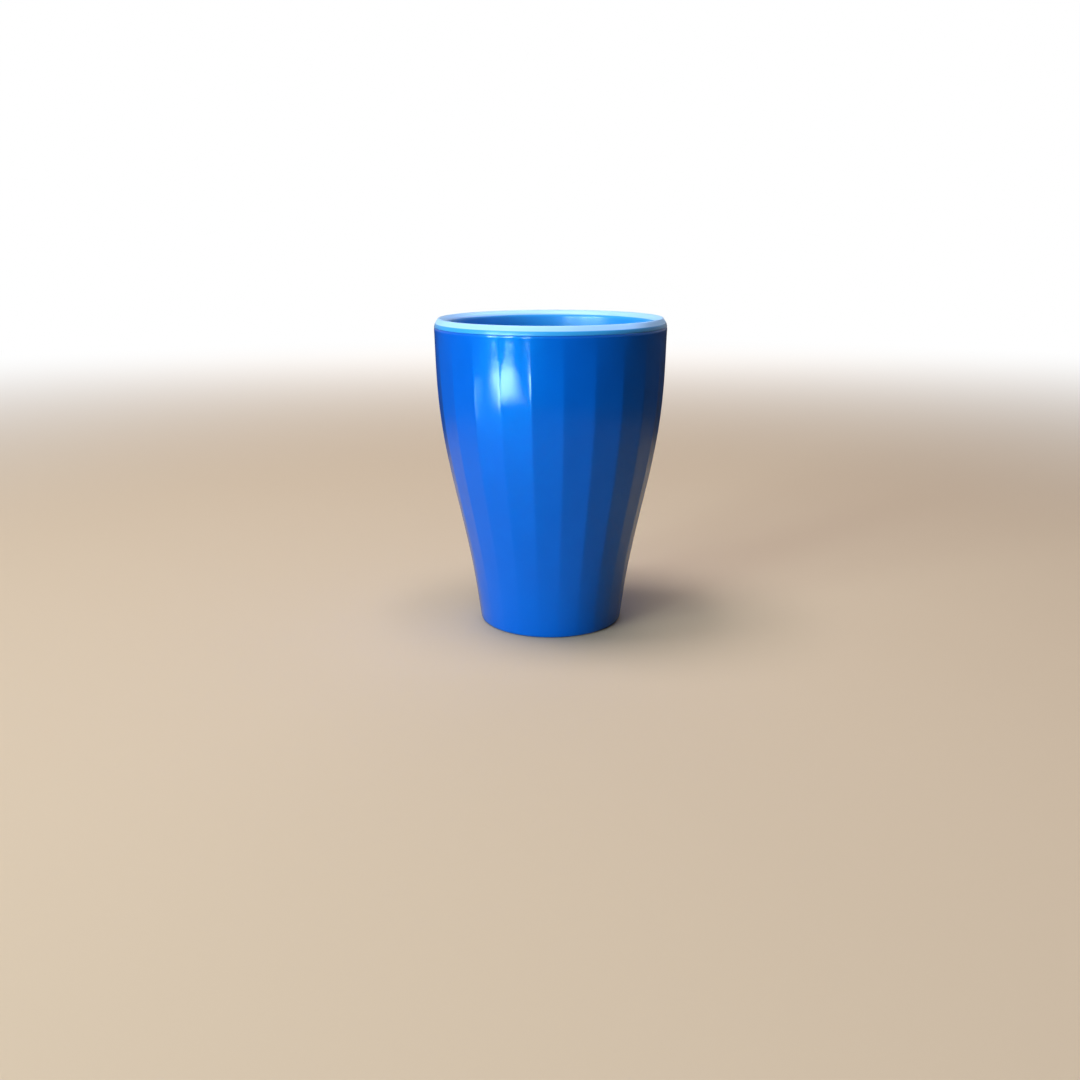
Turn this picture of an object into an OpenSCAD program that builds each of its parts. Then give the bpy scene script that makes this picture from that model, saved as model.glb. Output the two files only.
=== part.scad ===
// Two-tone moulded tea tumbler with shallow upright flats.
// Origin: centre of the foot on the table. +Z is up, and a flat is centred on each of X and Y.

/* [Overall] */
// Height from the table to the crest of the lip
height = 90; // [75:0.5:110]
// Radius of the foot, before its edge is rounded
foot_radius = 21.2; // [18:0.1:25]
// Outer radius at the mouth
mouth_radius = 33.35; // [30:0.05:38]

/* [Outer shell] */
// Thickness of the shell's wall, measured level
shell_wall = 1.6; // [1.2:0.1:2.2]
// Thickness of the shell's floor over the recess
shell_floor = 1.8; // [1.2:0.1:3]
// Rounding of the shell's top edge, under the lip
shell_edge_round = 0.5; // [0.2:0.05:0.8]
// Rounding of the foot's outer edge
foot_round = 0.9; // [0.3:0.05:1.5]
// Width of the ring that the tumbler stands on
foot_ring_width = 3.6; // [2.5:0.1:6]
// Depth of the recess inside the foot ring
recess_depth = 0.8; // [0.3:0.1:1.2]

/* [Flats] */
// Number of upright flats around the shell
flat_count = 24; // [16:4:32]
// Depth of a flat at its centre line, at the mouth radius
flat_depth = 0.2; // [0.1:0.01:0.28]
// Distance from the shell's top edge down to where the flats run out
flat_margin = 2.5; // [1:0.5:12]
// Height over which a flat grows to its full depth
flat_fade = 11; // [6:0.5:20]

/* [Inner liner] */
// Thickness of the liner's wall, measured level
liner_wall = 1.6; // [1.2:0.1:2.2]
// Thickness of the liner's floor
liner_floor = 1.8; // [1.2:0.1:3]
// Rounding where the shell's inside meets its floor
seat_round = 3.2; // [1.5:0.1:5]
// Rounding where the inside of the cup meets its floor
cup_round = 4.8; // [2:0.1:8]

/* [Lip] */
// Height of the whole lip above the shell's top edge
lip_height = 2.5; // [2:0.05:4]
// Height of the lip's upright side band
lip_band = 1.05; // [0.5:0.05:1.4]
// Inward lean of the side band
lip_draft = 0.3; // [0.1:0.05:0.6]
// Distance from the mouth radius in to the crest
crest_inset = 1.35; // [0.9:0.05:1.8]
// Rounding of the crest
crest_round = 0.4; // [0.2:0.05:0.6]
// Drop of the inner bevel, from the crest to the inner wall
bevel_drop = 1.2; // [0.8:0.05:1.8]
// Rounding of the lip's lower outer edge
lip_edge_round = 0.15; // [0.05:0.05:0.3]

/* [Hidden] */
$fn = 96;

// The outline of the wall: control shares of the flare, evenly spaced from foot to mouth
flare_shares = [0, 0.18, 0.345, 1.065, 0.95, 1];
// Levels along the wall, and steps along each rounded corner
wall_steps = 16;
round_steps = 5;
// Overrun for cuts
overrun = 1;

shell_top = height - lip_height;
flat_top = shell_top - flat_margin;
seat_floor = recess_depth + shell_floor;
cup_floor = seat_floor + liner_floor;
cup_wall = shell_wall + liner_wall;
recess_radius = foot_radius - foot_ring_width;
band_corner = [mouth_radius - lip_draft, shell_top + lip_band];
bevel_corner = [mouth_radius - cup_wall, height - bevel_drop];
crest_centre = [mouth_radius - crest_inset, height - crest_round];

function choose(n, k) = k == 0 ? 1 : choose(n, k - 1) * (n - k + 1) / k;

// Share of the flare reached at share u of the wall's height
function flare(u) =
    let (n = len(flare_shares) - 1)
    flare_shares * [for (k = [0:n]) choose(n, k) * pow(u, k) * pow(1 - u, n - k)];

// Radius of the round wall at height z, before the flats are cut
function wall_radius(z) =
    foot_radius + (mouth_radius - foot_radius) * flare(min(z / shell_top, 1));

function wall_point(inset, z) = [wall_radius(z) - inset, z];

// The wall, moved in by inset, at the levels strictly between two heights
function wall_line(inset, low, high) = [
    for (i = [0:wall_steps])
        let (z = shell_top * i / wall_steps)
        if (z > low && z < high) wall_point(inset, z)
];

function unit(v) = v / norm(v);

function bearing(v) = atan2(v.y, v.x);

function arc(centre, radius, from, sweep) = [
    for (i = [0:round_steps])
        let (angle = from + sweep * i / round_steps)
        centre + radius * [cos(angle), sin(angle)]
];

// An arc that rounds the corner at b, between the lines to a and c
function rounded(a, b, c, radius) =
    let (
        u = unit(a - b),
        v = unit(c - b),
        half = acos(u * v) / 2,
        centre = b + unit(u + v) * radius / sin(half),
        from = bearing(b + u * radius / tan(half) - centre),
        turn = bearing(b + v * radius / tan(half) - centre) - from
    )
    arc(centre, radius, from, turn - 360 * round(turn / 360));

// The crest: an arc that the side bevel and the inner bevel both touch
function crest_line() =
    let (
        outer = band_corner - crest_centre,
        inner = bevel_corner - crest_centre,
        from = bearing(outer) + acos(crest_round / norm(outer)),
        to = 360 + bearing(inner) - acos(crest_round / norm(inner))
    )
    arc(crest_centre, crest_round, from, to - from);

// A hollow's surface: from the centre of its floor, round the corner and up the wall
function hollow_line(inset, floor_z, radius, top_z) = concat(
    [[0, floor_z]],
    rounded([0, floor_z], wall_point(inset, floor_z), wall_point(inset, floor_z + 2 * radius), radius),
    wall_line(inset, floor_z + radius, top_z),
    [wall_point(inset, top_z)]
);

function reversed(points) = [for (i = [len(points) - 1:-1:0]) points[i]];

seat_line = hollow_line(shell_wall, seat_floor, seat_round, shell_top);
cup_line = hollow_line(cup_wall, cup_floor, cup_round, bevel_corner.y);

shell_outline = concat(
    [[0, recess_depth], [recess_radius - recess_depth, recess_depth], [recess_radius, 0]],
    rounded([recess_radius, 0], wall_point(0, 0), wall_point(0, 2 * foot_round), foot_round),
    wall_line(0, foot_round, shell_top - shell_edge_round),
    rounded(
        wall_point(0, shell_top - 2 * shell_edge_round),
        wall_point(0, shell_top),
        wall_point(shell_wall, shell_top),
        shell_edge_round
    ),
    reversed(seat_line)
);

liner_outline = concat(
    seat_line,
    rounded(wall_point(shell_wall, shell_top), wall_point(0, shell_top), band_corner, lip_edge_round),
    [band_corner],
    crest_line(),
    reversed(cup_line)
);

// Depth of a flat at height z: full below the fade, and less than nothing above the run-out
function flat_depth_at(z) =
    flat_depth * wall_radius(z) / mouth_radius * min(1, (flat_top - z) / flat_fade);

// Levels along a flat, midway between the wall's own
flat_levels = concat(
    [-overrun],
    [for (i = [0.5:wall_steps]) let (z = shell_top * i / wall_steps) if (z < flat_top - flat_fade) z],
    [flat_top - flat_fade, flat_top, shell_top]
);

// What is cut away outside one flat, centred on +X
module flat_cutter() {
    rotate([90, 0, 0])
        linear_extrude(2 * mouth_radius * tan(180 / flat_count), center = true)
            polygon(concat(
                [for (z = flat_levels) wall_point(flat_depth_at(z), z)],
                [[mouth_radius + overrun, shell_top], [mouth_radius + overrun, -overrun]]
            ));
}

module outer_shell() {
    color("#1257c9")
        difference() {
            rotate_extrude() polygon(shell_outline);
            for (i = [0:flat_count - 1])
                rotate([0, 0, 360 * i / flat_count]) flat_cutter();
        }
}

module inner_liner() {
    color("#5aa9f2")
        rotate_extrude() polygon(liner_outline);
}

outer_shell();
inner_liner();
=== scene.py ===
import math

import bmesh
import bpy
from mathutils import Matrix, Vector


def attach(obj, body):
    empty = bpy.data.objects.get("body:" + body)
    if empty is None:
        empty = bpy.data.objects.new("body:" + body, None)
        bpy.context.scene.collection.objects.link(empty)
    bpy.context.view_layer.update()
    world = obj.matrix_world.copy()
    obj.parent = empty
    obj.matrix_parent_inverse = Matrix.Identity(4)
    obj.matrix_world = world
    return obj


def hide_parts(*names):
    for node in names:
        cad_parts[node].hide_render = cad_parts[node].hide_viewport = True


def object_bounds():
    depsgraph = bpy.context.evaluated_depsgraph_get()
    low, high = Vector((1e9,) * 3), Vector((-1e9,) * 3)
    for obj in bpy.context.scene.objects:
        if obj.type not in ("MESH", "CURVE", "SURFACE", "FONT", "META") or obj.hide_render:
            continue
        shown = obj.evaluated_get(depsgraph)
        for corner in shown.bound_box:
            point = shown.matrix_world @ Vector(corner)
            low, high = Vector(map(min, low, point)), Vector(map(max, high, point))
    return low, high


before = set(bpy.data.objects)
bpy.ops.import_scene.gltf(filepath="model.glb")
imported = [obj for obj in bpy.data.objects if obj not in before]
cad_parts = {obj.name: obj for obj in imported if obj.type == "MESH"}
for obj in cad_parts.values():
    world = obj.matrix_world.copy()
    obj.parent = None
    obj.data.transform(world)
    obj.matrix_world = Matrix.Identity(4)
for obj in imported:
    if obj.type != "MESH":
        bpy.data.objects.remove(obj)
cadLow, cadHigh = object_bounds()  # the tumbler's box, as the solids give it
print("frame loaded:", ", ".join(sorted(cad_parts)))

mm = 0.001

# what both layers share; the mouth and the height come from the frame, and each round, here and below, is
# its radius and its segments
tumbler = {
    "height": cadHigh.z,
    "mouthRadius": cadHigh.x,
    "footRadius": 21.2 * mm,
    "lipHeight": 2.5 * mm,
    "shellWall": 1.6 * mm,
    "seatFloor": 2.6 * mm,  # where the liner's floor lies on the shell's
    "seatRound": (3.2 * mm, 6),
    "seatRows": 24,
    "flareShares": (0, 0.18, 0.345, 1.065, 0.95, 1),  # the wall's outline, from foot to mouth
    "flats": 24,
    "mergeDistance": 0.001 * mm,
}
shellTop = tumbler["height"] - tumbler["lipHeight"]
halfFlat = math.pi / tumbler["flats"]


def wallRadius(z):
    # radius of the round wall at a height, before the flats are pressed in
    shares = tumbler["flareShares"]
    n = len(shares) - 1
    u = min(z / shellTop, 1)
    flare = sum(share * math.comb(n, k) * u**k * (1 - u) ** (n - k) for k, share in enumerate(shares))
    return tumbler["footRadius"] + (tumbler["mouthRadius"] - tumbler["footRadius"]) * flare


def wallLine(inset, low, high, rows):
    # points up the wall from one height to another, ends included
    heights = [low + (high - low) * i / rows for i in range(rows + 1)]
    return [(wallRadius(z) - inset, z) for z in heights]


def seatLine():
    # the side of the seat, where the two layers lie on each other
    low = tumbler["seatFloor"] + 2 * tumbler["seatRound"][0]
    return wallLine(tumbler["shellWall"], low, shellTop, tumbler["seatRows"])


def turnSector(points, rounds, columns):
    # an outline of (radius, height) points is rounded at its corners and spun through one flat's width
    bm = bmesh.new()
    verts = [bm.verts.new((radius, 0, z)) for radius, z in points]
    for pair in zip(verts, verts[1:]):
        bm.edges.new(pair)
    for index, (radius, segments) in rounds.items():
        before, corner, after = (Vector(point) for point in points[index - 1:index + 2])
        reach = radius / math.tan((before - corner).angle(after - corner) / 2)
        bmesh.ops.bevel(bm, geom=[verts[index]], offset=reach, offset_type="OFFSET", affect="VERTICES",
                        segments=segments, profile=0.5, material=-1)
    bmesh.ops.rotate(bm, verts=bm.verts, cent=(0, 0, 0), matrix=Matrix.Rotation(-halfFlat, 3, "Z"))
    bmesh.ops.spin(bm, geom=bm.verts[:] + bm.edges[:], cent=(0, 0, 0), axis=(0, 0, 1),
                   angle=2 * halfFlat, steps=columns, use_merge=False)
    return bm


def repeatSector(bm):
    # the sector is copied all the way round, and the seams and poles are closed
    bmesh.ops.spin(bm, geom=bm.verts[:] + bm.edges[:] + bm.faces[:], cent=(0, 0, 0), axis=(0, 0, 1),
                   angle=math.tau - 2 * halfFlat, steps=tumbler["flats"] - 1, use_duplicate=True)
    bmesh.ops.remove_doubles(bm, verts=bm.verts, dist=tumbler["mergeDistance"])
    bmesh.ops.recalc_face_normals(bm, faces=bm.faces)


def finishPiece(name, bm, node, material):
    mesh = bpy.data.meshes.new(name)
    bm.to_mesh(mesh)
    bm.free()
    mesh.shade_smooth()
    mesh.materials.append(material)
    piece = bpy.data.objects.new(name, mesh)
    bpy.context.scene.collection.objects.link(piece)
    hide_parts(node)
    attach(piece, "root")
    print(name, "has", len(mesh.polygons), "faces")


def toLinear(hexColour):
    # an sRGB hex colour as the linear values that a shader takes
    values = [int(hexColour[i:i + 2], 16) / 255 for i in (1, 3, 5)]
    return [v / 12.92 if v <= 0.04045 else ((v + 0.055) / 1.055) ** 2.4 for v in values] + [1]


def addNode(tree, kind, settings=None, inputs=None, links=None):
    # one node, with its own settings, its input values and the sockets linked into it
    node = tree.nodes.new(kind)
    for key, value in (settings or {}).items():
        setattr(node, key, value)
    for key, value in (inputs or {}).items():
        node.inputs[key].default_value = value
    for key, socket in (links or {}).items():
        tree.links.new(socket, node.inputs[key])
    return node


# what the melamine of both layers has in common
melamine = {
    "ior": 1.6,
    "glazeIor": 1.3,
    "cloudSize": 9 * mm,
    "edgeNoiseSize": 1.2 * mm,
    "polishSize": 6 * mm,
    "polishSpread": 0.15,  # the share by which the sheen's roughness strays
    "waveSize": 12 * mm,
    "peelSize": 0.5 * mm,
}


def mouldedMelamine(name, finish):
    # compression-moulded melamine under a thin glaze of clear resin: dense colour right through, a hard
    # sharp gloss over a softer sheen, a trace of orange peel, and a paler band: real wear on the shell's
    # foot ring, and painted light from above on the liner's sloped lip faces
    material = bpy.data.materials.new(name)
    material.use_nodes = True
    tree = material.node_tree
    shader = tree.nodes["Principled BSDF"]
    place = addNode(tree, "ShaderNodeTexCoord").outputs["Object"]
    height = addNode(tree, "ShaderNodeSeparateXYZ", links={0: place}).outputs["Z"]
    # a faint cloudiness left by the powder as it flowed in the mould
    cloud = addNode(tree, "ShaderNodeTexNoise", inputs={"Scale": 1 / melamine["cloudSize"], "Detail": 3},
                    links={"Vector": place})
    tint = addNode(tree, "ShaderNodeMix", {"data_type": "RGBA"},
                   inputs={6: toLinear(finish["deep"]), 7: toLinear(finish["bright"])},
                   links={0: cloud.outputs["Fac"]})
    # the edge of the paler band, which starts unevenly: worn on the foot, painted light on the lip
    edgeNoise = addNode(tree, "ShaderNodeTexNoise", inputs={"Scale": 1 / melamine["edgeNoiseSize"], "Detail": 4},
                    links={"Vector": place})
    ragged = addNode(tree, "ShaderNodeMath", {"operation": "MULTIPLY_ADD"}, inputs={1: finish["edgeNoiseReach"]},
                     links={0: edgeNoise.outputs["Fac"], 2: height})
    wearAndLight = addNode(tree, "ShaderNodeMapRange", {"interpolation_type": "SMOOTHSTEP"},
                     inputs={"From Min": finish["wearAndLightFrom"], "From Max": finish["wearAndLightTo"]},
                     links={"Value": ragged.outputs[0]})
    # the paler colour is real wear on the shell's foot ring, and painted light from above on the liner's
    # sloped lip faces
    paler = addNode(tree, "ShaderNodeMix", {"data_type": "RGBA"}, inputs={7: toLinear(finish["wearAndLight"])},
                    links={0: wearAndLight.outputs["Result"], 6: tint.outputs[2]})
    tree.links.new(paler.outputs[2], shader.inputs["Base Color"])
    # the sheen is a little uneven where the mould's polish varies
    polish = addNode(tree, "ShaderNodeTexNoise", inputs={"Scale": 1 / melamine["polishSize"], "Detail": 2},
                     links={"Vector": place})
    sheen = addNode(tree, "ShaderNodeMapRange",
                    inputs={"To Min": finish["roughness"] * (1 - melamine["polishSpread"]),
                            "To Max": finish["roughness"] * (1 + melamine["polishSpread"])},
                    links={"Value": polish.outputs["Fac"]})
    tree.links.new(sheen.outputs["Result"], shader.inputs["Roughness"])
    shader.inputs["IOR"].default_value = melamine["ior"]
    shader.inputs["Specular Tint"].default_value = toLinear(finish["sheen"])
    # the glaze over it, worn thin on the rubbed foot and buffed thin on the lip's slopes
    glaze = addNode(tree, "ShaderNodeMapRange", inputs={"To Min": 1, "To Max": finish["glazeLeft"]},
                    links={"Value": wearAndLight.outputs["Result"]})
    tree.links.new(glaze.outputs["Result"], shader.inputs["Coat Weight"])
    shader.inputs["Coat Roughness"].default_value = finish["gloss"]
    shader.inputs["Coat IOR"].default_value = melamine["glazeIor"]
    # fine orange peel on the slow waviness of a moulding that has shrunk as it cooled
    wave = addNode(tree, "ShaderNodeTexNoise", inputs={"Scale": 1 / melamine["waveSize"], "Detail": 1},
                   links={"Vector": place})
    peel = addNode(tree, "ShaderNodeTexNoise", inputs={"Scale": 1 / melamine["peelSize"], "Detail": 2},
                   links={"Vector": place})
    fine = addNode(tree, "ShaderNodeMath", {"operation": "MULTIPLY"}, inputs={1: finish["peelShare"]},
                   links={0: peel.outputs["Fac"]})
    relief = addNode(tree, "ShaderNodeMath", {"operation": "ADD"},
                     links={0: wave.outputs["Fac"], 1: fine.outputs[0]})
    bump = addNode(tree, "ShaderNodeBump", inputs={"Strength": 1, "Distance": finish["waveDepth"]},
                   links={"Height": relief.outputs[0]})
    tree.links.new(bump.outputs["Normal"], shader.inputs["Normal"])
    tree.links.new(bump.outputs["Normal"], shader.inputs["Coat Normal"])
    return material


# the deep blue outer layer
shell = {
    "finish": {
        "deep": "#005edb",
        "bright": "#0065e5",
        "sheen": "#27e1ff",  # the soft sheen under the glaze takes the blue
        "roughness": 0.4,
        "gloss": 0.05,
        "peelShare": 0.12,
        "waveDepth": 0.08 * mm,
        "wearAndLight": "#4c8fe8",  # the foot's ring, where it slides on tables
        "wearAndLightFrom": 0.75 * mm,
        "wearAndLightTo": 0.3 * mm,
        "edgeNoiseReach": 0.8 * mm,
        "glazeLeft": 0.2,
    },
    "ringWidth": 3.6 * mm,
    "ringRound": (0.5 * mm, 4),
    "recessDepth": 0.8 * mm,
    "recessRound": (0.6 * mm, 4),
    "footRound": (0.9 * mm, 8),
    "rows": 70,  # up the outside of the wall
    "crownHeight": 0.85 * mm,  # over this height the wall's top edge draws in
    "crownRadius": 3 * mm,  # along a curve of this radius
    "crownRows": 6,
    "edgeRound": (0.2 * mm, 6),
    "ridgeRadius": 4 * mm,  # of the soft ridge between two flats
    "flatTop": 86.5 * mm,  # the flats have run out here
    "flatFull": 60 * mm,  # and have their full depth from here down
    "footFade": (4 * mm, 40 * mm),  # they grow shallow towards the foot between these heights
    "footShare": 0.2,  # and keep this much of their depth there
    "columns": 18,  # in each flat
    "gather": 0.65,  # how closely the columns gather at the ridges
}


def flatRadius(angle, z):
    # the outside's radius: straight across a flat between rounded ridges, and drawn back towards the round
    # wall near the mouth and near the foot
    radius = wallRadius(z)
    ridge = shell["ridgeRadius"]
    centre = radius - ridge
    flat = ridge + centre * math.cos(halfFlat)
    if flat * math.tan(abs(angle)) <= centre * math.sin(halfFlat):
        pressed = flat / math.cos(angle)
    else:
        off = halfFlat - abs(angle)
        pressed = centre * math.cos(off) + math.sqrt(ridge**2 - (centre * math.sin(off)) ** 2)
    high = min(max((z - shell["flatFull"]) / (shell["flatTop"] - shell["flatFull"]), 0), 1)
    low = min(max((z - shell["footFade"][0]) / (shell["footFade"][1] - shell["footFade"][0]), 0), 1)
    share = shell["footShare"] + (1 - shell["footShare"]) * low * low * (3 - 2 * low)
    return radius + (pressed - radius) * share * (1 - high**2)


def pressFlat(bm):
    # the sector's outside moves in to its flat, and its columns gather at the ridges
    for vert in bm.verts:
        x, y, z = vert.co
        radius = math.hypot(x, y)
        if radius < wallRadius(z) - tumbler["shellWall"] / 2:
            continue
        angle = math.atan2(y, x)
        gathered = halfFlat * math.sin(angle / halfFlat * math.pi / 2)
        angle = (1 - shell["gather"]) * angle + shell["gather"] * gathered
        radius *= flatRadius(angle, z) / wallRadius(z)
        vert.co = (radius * math.cos(angle), radius * math.sin(angle), z)


def makeShell():
    recess = tumbler["footRadius"] - shell["ringWidth"]
    under = [(0, shell["recessDepth"]), (recess - shell["recessDepth"], shell["recessDepth"]),
             (recess, 0), (tumbler["footRadius"], 0)]
    crownLow = shellTop - shell["crownHeight"]
    outside = wallLine(0, 2 * shell["footRound"][0], crownLow, shell["rows"])
    crown = []
    for row in range(1, shell["crownRows"] + 1):
        rise = shell["crownHeight"] * row / shell["crownRows"]
        drawnIn = rise**2 / (2 * shell["crownRadius"])
        crown.append((wallRadius(crownLow + rise) - drawnIn, crownLow + rise))
    seat = [(wallRadius(tumbler["seatFloor"]) - tumbler["shellWall"], tumbler["seatFloor"]),
            (0, tumbler["seatFloor"])]
    points = under + outside + crown + seatLine()[::-1] + seat
    rounds = {
        1: shell["recessRound"],
        2: shell["ringRound"],
        3: shell["footRound"],
        len(under + outside + crown) - 1: shell["edgeRound"],
        len(points) - 2: tumbler["seatRound"],
    }
    bm = turnSector(points, rounds, shell["columns"])
    pressFlat(bm)
    repeatSector(bm)
    finishPiece("shell_moulding", bm, "outer_shell",
                mouldedMelamine("deep_blue_moulded_melamine", shell["finish"]))


# the light blue inner layer, with the lip that caps the shell
liner = {
    "finish": {
        "deep": "#2a9df0",
        "bright": "#33a3f4",
        "sheen": "#bfe8ff",
        "roughness": 0.38,
        "gloss": 0.2,
        "peelShare": 0.06,
        "waveDepth": 0.05 * mm,
        "wearAndLight": "#a5d0fb",  # the lip's sloped faces, painted paler for the light from above that falls on them; the glaze there is buffed thin where the mould's flash came off
        "wearAndLightFrom": 88.58 * mm,
        "wearAndLightTo": 88.72 * mm,
        "edgeNoiseReach": 0.02 * mm,
        "glazeLeft": 0.1,
    },
    "wall": 1.6 * mm,
    "cupFloor": 4.4 * mm,
    "cupRound": (4.8 * mm, 12),
    "rows": 48,  # up the inside of the wall
    "edgeRound": (0.15 * mm, 3),
    "band": 1.05 * mm,  # the lip's upright face
    "draft": 0.3 * mm,
    "bandRound": (0.25 * mm, 4),
    "crestInset": 1.35 * mm,
    "crestRound": (0.4 * mm, 8),
    "crestClearance": 0.005 * mm,
    "crestTries": 6,
    "bevelDrop": 1.2 * mm,
    "bevelRound": (2 * mm, 8),
    "columns": 12,  # in each of the shell's flats
}


def crestCorner(band, bevel):
    # the corner over the lip's two slopes, so high that its rounding ends at the tumbler's full height
    crestRound = liner["crestRound"][0]
    crest = Vector((tumbler["mouthRadius"] - liner["crestInset"], tumbler["height"]))
    for attempt in range(liner["crestTries"]):
        out = (Vector(band) - crest).normalized()
        inward = (Vector(bevel) - crest).normalized()
        centre = crest + (out + inward).normalized() * crestRound / math.sin(out.angle(inward) / 2)
        crest.y += tumbler["height"] - liner["crestClearance"] - (centre.y + crestRound)
    return tuple(crest)


def makeLiner():
    cup = tumbler["shellWall"] + liner["wall"]
    bevelLow = tumbler["height"] - liner["bevelDrop"]
    inside = wallLine(cup, liner["cupFloor"] + 2 * liner["cupRound"][0],
                      bevelLow - 2 * liner["bevelRound"][0], liner["rows"])
    seat = [(0, tumbler["seatFloor"]),
            (wallRadius(tumbler["seatFloor"]) - tumbler["shellWall"], tumbler["seatFloor"])]
    band = (tumbler["mouthRadius"] - liner["draft"], shellTop + liner["band"])
    bevel = (tumbler["mouthRadius"] - cup, bevelLow)
    lip = [(tumbler["mouthRadius"], shellTop), band, crestCorner(band, bevel), bevel]
    bottom = [(wallRadius(liner["cupFloor"]) - cup, liner["cupFloor"]), (0, liner["cupFloor"])]
    outside = seat + seatLine()
    points = outside + lip + inside[::-1] + bottom
    rounds = {
        1: tumbler["seatRound"],
        len(outside): liner["edgeRound"],
        len(outside) + 1: liner["bandRound"],
        len(outside) + 2: liner["crestRound"],
        len(outside) + 3: liner["bevelRound"],
        len(points) - 2: liner["cupRound"],
    }
    bm = turnSector(points, rounds, liner["columns"])
    repeatSector(bm)
    finishPiece("liner_moulding", bm, "inner_liner",
                mouldedMelamine("light_blue_moulded_melamine", liner["finish"]))


makeShell()
makeLiner()

# the camera stands a little off the square view of a flat, so it and the lamps turn together
stand = {
    "turn": math.radians(1.9),
    "camera": (-3.2 * mm, -315.3 * mm, 112.3 * mm),
    "pitch": math.radians(15.7),
    "roll": math.radians(-0.18),
    "lens": 36.03,
    "sensor": 36,
}
turned = Matrix.Rotation(stand["turn"], 4, "Z")


def makeCamera():
    data = bpy.data.cameras.new("camera")
    data.lens = stand["lens"]
    data.sensor_width = stand["sensor"]
    camera = bpy.data.objects.new("camera", data)
    camera.matrix_world = (turned @ Matrix.Translation(stand["camera"])
                           @ Matrix.Rotation(math.pi / 2 - stand["pitch"], 4, "X")
                           @ Matrix.Rotation(stand["roll"], 4, "Z"))
    bpy.context.scene.collection.objects.link(camera)
    bpy.context.scene.camera = camera


# plain pale paint all round for the camera, and a round patch of it under the tumbler that gloss and
# bounced light see, which thins out at its edge
floor = {
    "colour": "#cfb9a4",
    "roughness": 0.8,
    "reach": 30.0,
    "drop": 0.001 * mm,  # just clear of the foot
    "paleStart": 0.2,  # the floor pales into the white room between these two distances
    "paleEnd": 0.95,
    "patchColour": "#9e8e76",  # a deeper tone
    "patchDrop": 0.02 * mm,
    "patchStart": 0.16,
    "patchEnd": 0.3,
    "segments": 128,
}


def palePaint(name, colour, start, end):
    # emulsion paint: flat, even and matt
    material = bpy.data.materials.new(name)
    material.use_nodes = True
    tree = material.node_tree
    shader = tree.nodes["Principled BSDF"]
    shader.inputs["Base Color"].default_value = toLinear(colour)
    shader.inputs["Roughness"].default_value = floor["roughness"]
    shader.inputs["Specular IOR Level"].default_value = 0
    away = addNode(tree, "ShaderNodeVectorMath", {"operation": "LENGTH"},
                   links={0: addNode(tree, "ShaderNodeTexCoord").outputs["Object"]})
    fade = addNode(tree, "ShaderNodeMapRange", {"interpolation_type": "SMOOTHSTEP"},
                   inputs={"From Min": start, "From Max": end}, links={"Value": away.outputs["Value"]})
    mix = addNode(tree, "ShaderNodeMixShader", links={0: fade.outputs["Result"], 1: shader.outputs["BSDF"]})
    tree.links.new(mix.outputs["Shader"], tree.nodes["Material Output"].inputs["Surface"])
    return material, mix


def paintAllRound():
    material, mix = palePaint("matt_pale_paint", floor["colour"], floor["paleStart"], floor["paleEnd"])
    white = addNode(material.node_tree, "ShaderNodeEmission", inputs={"Strength": 1})
    material.node_tree.links.new(white.outputs["Emission"], mix.inputs[2])
    return material


def paintPatch():
    material, mix = palePaint("matt_pale_paint_patch", floor["patchColour"], floor["patchStart"],
                              floor["patchEnd"])
    clear = addNode(material.node_tree, "ShaderNodeBsdfTransparent")
    material.node_tree.links.new(clear.outputs["BSDF"], mix.inputs[2])
    return material


def makeDisc(name, radius, z, material):
    bm = bmesh.new()
    bmesh.ops.create_circle(bm, cap_ends=True, segments=floor["segments"], radius=radius)
    bmesh.ops.translate(bm, verts=bm.verts, vec=(0, 0, z))
    mesh = bpy.data.meshes.new(name)
    bm.to_mesh(mesh)
    bm.free()
    mesh.materials.append(material)
    disc = bpy.data.objects.new(name, mesh)
    bpy.context.scene.collection.objects.link(disc)
    return disc


def makeFloor():
    allRound = makeDisc("floor", floor["reach"], -floor["drop"], paintAllRound())
    allRound.visible_diffuse = False
    allRound.visible_glossy = False
    allRound.visible_shadow = False
    patch = makeDisc("floor_patch", floor["patchEnd"], -floor["patchDrop"], paintPatch())
    patch.visible_camera = False


# soft lamps, placed by their angles round from the camera's side and above the floor, in degrees: a window
# of three panes front left and the daylight round it, two skylights and one behind; and for the gloss alone
# a bright ceiling, and the glints of the panes on the shell's top edge
lamps = {
    # angle round, angle up, width, height, brightness, colour and what sees it; the window's colour has the
    # faint green of its glass
    "pane_1": (-56.9, 13, 0.15, 0.28, 15.5, "#e7fffb", "all"),
    "pane_2": (-40.8, 13, 0.13, 0.28, 18.5, "#e7fffb", "all"),
    "pane_3": (-23, 13, 0.08, 0.28, 8.0, "#e7fffb", "all"),
    "daylight": (-45, 6, 0.4, 0.16, 17.5, "#e7fffb", "matt"),
    "skylight": (-90, 72, 0.35, 0.35, 9.4, "#ffffff", "all"),
    "overhead": (0, 86, 0.45, 0.35, 7.4, "#ffffff", "all"),
    "behind": (180, 9, 1.0, 0.2, 5.0, "#ffffff", "matt"),
    "ceiling": (115, 55, 0.8, 0.6, 8.0, "#a9c4ff", "gloss"),
    "glint_1": (-57.5, 9, 0.17, 0.045, 36, "#e7fffb", "gloss"),
    "glint_2": (-41.5, 9, 0.14, 0.05, 42, "#e7fffb", "gloss"),
    "glint_3": (-23.5, 9, 0.11, 0.05, 56, "#e7fffb", "gloss"),
}
lampDistance = 0.9


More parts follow.
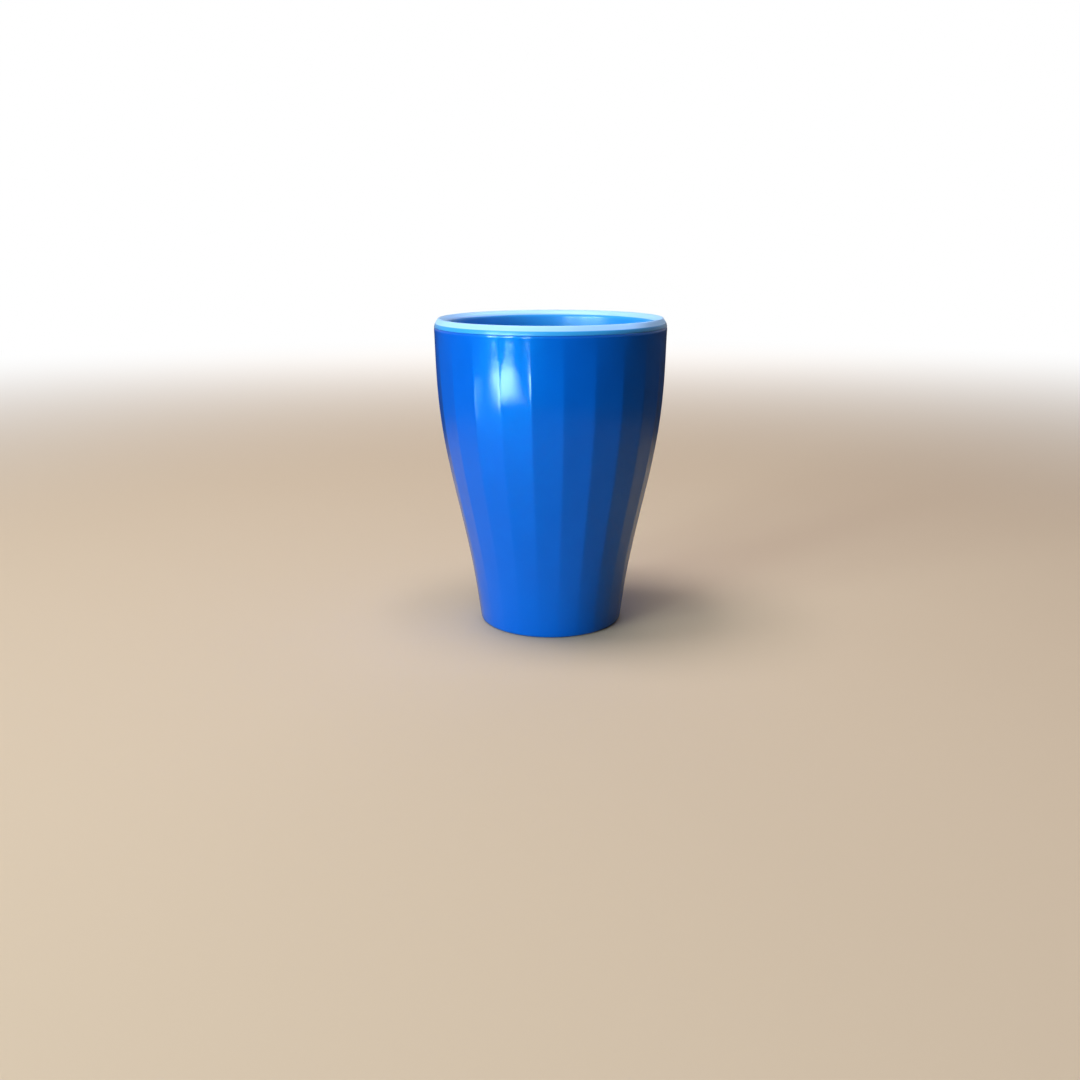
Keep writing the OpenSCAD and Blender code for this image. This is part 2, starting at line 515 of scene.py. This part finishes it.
def makeLamp(name, angleRound, angleUp, width, height, brightness, colour, seenBy):
    # an area lamp that looks at the tumbler's middle
    side, up = math.radians(angleRound), math.radians(angleUp)
    out = Vector((math.sin(side) * math.cos(up), -math.cos(side) * math.cos(up), math.sin(up)))
    data = bpy.data.lights.new(name, "AREA")
    data.shape = "RECTANGLE"
    data.size = width
    data.size_y = height
    data.energy = brightness * math.pi * width * height  # a larger lamp is no brighter to look at
    data.color = toLinear(colour)[:3]
    lamp = bpy.data.objects.new(name, data)
    centre = Vector((0, 0, tumbler["height"] / 2))
    lamp.matrix_world = (turned @ Matrix.Translation(centre + out * lampDistance)
                         @ out.to_track_quat("Z", "Y").to_matrix().to_4x4())
    lamp.visible_camera = False
    lamp.visible_diffuse = seenBy != "gloss"
    lamp.visible_glossy = seenBy != "matt"
    bpy.context.scene.collection.objects.link(lamp)


# the window mirrored below the floor's level, on curved cards that only the gloss sees
mirrored = {
    "colour": "#b2e4ff",
    "slant": 0.0045,  # how far the heights drop for each degree away from the peak
    "steps": 4,  # along each card
    "panes": {
        # the angles where it is dark, bright, bright and dark again, the angle of its peak, the heights
        # for the same four, and its brightness
        "mirrored_pane_0": ((-75, -72, -70, -67), -71, (-0.24, -0.17, -0.12, -0.08), 14),
        "mirrored_pane_1": ((-66, -60, -52.5, -51.5), -56, (-0.18, -0.12, -0.061, -0.05), 54),
        "mirrored_pane_2": ((-47.5, -46, -38, -32), -41, (-0.165, -0.11, -0.069, -0.058), 54),
        "mirrored_pane_3": ((-30, -25, -22, -19), -22, (-0.16, -0.105, -0.07, -0.058), 54),
    },
}


def windowGlow(angles, peak, heights, brightness):
    # daylight through glass, soft at its edges
    material = bpy.data.materials.new("window_glow")
    material.use_nodes = True
    tree = material.node_tree
    tree.nodes.remove(tree.nodes["Principled BSDF"])
    place = addNode(tree, "ShaderNodeSeparateXYZ",
                    links={0: addNode(tree, "ShaderNodeTexCoord").outputs["Object"]})
    ahead = addNode(tree, "ShaderNodeMath", {"operation": "MULTIPLY"}, inputs={1: -1},
                    links={0: place.outputs["Y"]})
    side = addNode(tree, "ShaderNodeMath", {"operation": "ARCTAN2"},
                   links={0: place.outputs["X"], 1: ahead.outputs[0]})
    aside = addNode(tree, "ShaderNodeMath", {"operation": "SUBTRACT"},
                    inputs={1: math.radians(peak) + stand["turn"]}, links={0: side.outputs[0]})
    away = addNode(tree, "ShaderNodeMath", {"operation": "ABSOLUTE"}, links={0: aside.outputs[0]})
    height = addNode(tree, "ShaderNodeMath", {"operation": "MULTIPLY_ADD"},
                     inputs={1: math.degrees(mirrored["slant"])},
                     links={0: away.outputs[0], 2: place.outputs["Z"]})
    turnedAngles = [math.radians(angle) + stand["turn"] for angle in angles]
    strength = None
    for value, edges in ((side.outputs[0], turnedAngles), (height.outputs[0], heights)):
        dark, bright, stillBright, darkAgain = edges
        for start, end in ((dark, bright), (darkAgain, stillBright)):
            soft = addNode(tree, "ShaderNodeMapRange", {"interpolation_type": "SMOOTHSTEP"},
                           inputs={"From Min": start, "From Max": end}, links={"Value": value})
            lit = addNode(tree, "ShaderNodeMath", {"operation": "MULTIPLY"}, inputs={1: brightness},
                          links={0: soft.outputs["Result"]})
            if strength is not None:
                tree.links.new(strength, lit.inputs[1])
            strength = lit.outputs[0]
    light = addNode(tree, "ShaderNodeEmission", inputs={"Color": toLinear(mirrored["colour"])},
                    links={"Strength": strength})
    tree.links.new(light.outputs["Emission"], tree.nodes["Material Output"].inputs["Surface"])
    return material


def makeMirrored(name, angles, peak, heights, brightness):
    # a curved card round the tumbler, long enough for its slanted ends
    width = angles[-1] - angles[0]
    start = turned @ Matrix.Rotation(math.radians(angles[0]), 4, "Z") @ Vector((0, -lampDistance, 0))
    bm = bmesh.new()
    low = heights[0] - mirrored["slant"] * width
    ends = [bm.verts.new((start.x, start.y, z)) for z in (low, heights[-1])]
    edge = bm.edges.new(ends)
    bmesh.ops.spin(bm, geom=ends + [edge], cent=(0, 0, 0), axis=(0, 0, 1), angle=math.radians(width),
                   steps=mirrored["steps"], use_merge=False)
    mesh = bpy.data.meshes.new(name)
    bm.to_mesh(mesh)
    bm.free()
    mesh.materials.append(windowGlow(angles, peak, heights, brightness))
    card = bpy.data.objects.new(name, mesh)
    card.visible_camera = False
    card.visible_diffuse = False
    card.visible_shadow = False
    bpy.context.scene.collection.objects.link(card)


# the room: white above the floor's level for the camera and glass, greyer for gloss, and a dim fill on
# everything else
room = {
    "white": 1.0,
    "below": 0.01,
    "horizon": (-0.06, -0.006),  # it turns from dark to white between these slopes
    "gloss": 0.35,
    "fill": 0.03,
}


def makeRoom():
    world = bpy.data.worlds.new("room")
    world.use_nodes = True
    tree = world.node_tree
    path = addNode(tree, "ShaderNodeLightPath")
    gloss = addNode(tree, "ShaderNodeMath", {"operation": "MULTIPLY"}, inputs={1: room["gloss"]},
                    links={0: path.outputs["Is Glossy Ray"]})
    either = addNode(tree, "ShaderNodeMath", {"operation": "MAXIMUM"},
                     links={0: path.outputs["Is Camera Ray"], 1: gloss.outputs[0]})
    seen = addNode(tree, "ShaderNodeMath", {"operation": "MAXIMUM"},
                   links={0: either.outputs[0], 1: path.outputs["Is Transmission Ray"]})
    towards = addNode(tree, "ShaderNodeSeparateXYZ",
                      links={0: addNode(tree, "ShaderNodeTexCoord").outputs["Generated"]})
    wall = addNode(tree, "ShaderNodeMapRange", {"interpolation_type": "SMOOTHSTEP"},
                   inputs={"From Min": room["horizon"][0], "From Max": room["horizon"][1],
                           "To Min": room["below"], "To Max": room["white"]},
                   links={"Value": towards.outputs["Z"]})
    strength = addNode(tree, "ShaderNodeMix", {"data_type": "FLOAT"}, inputs={2: room["fill"]},
                       links={0: seen.outputs[0], 3: wall.outputs["Result"]})
    tree.links.new(strength.outputs[0], tree.nodes["Background"].inputs["Strength"])
    tree.nodes["Background"].inputs["Color"].default_value = (1, 1, 1, 1)
    bpy.context.scene.world = world


makeCamera()
makeFloor()
for name, place in lamps.items():
    makeLamp(name, *place)
for name, place in mirrored["panes"].items():
    makeMirrored(name, *place)
makeRoom()
bpy.context.scene.view_settings.view_transform = "Standard"
print("stage set")
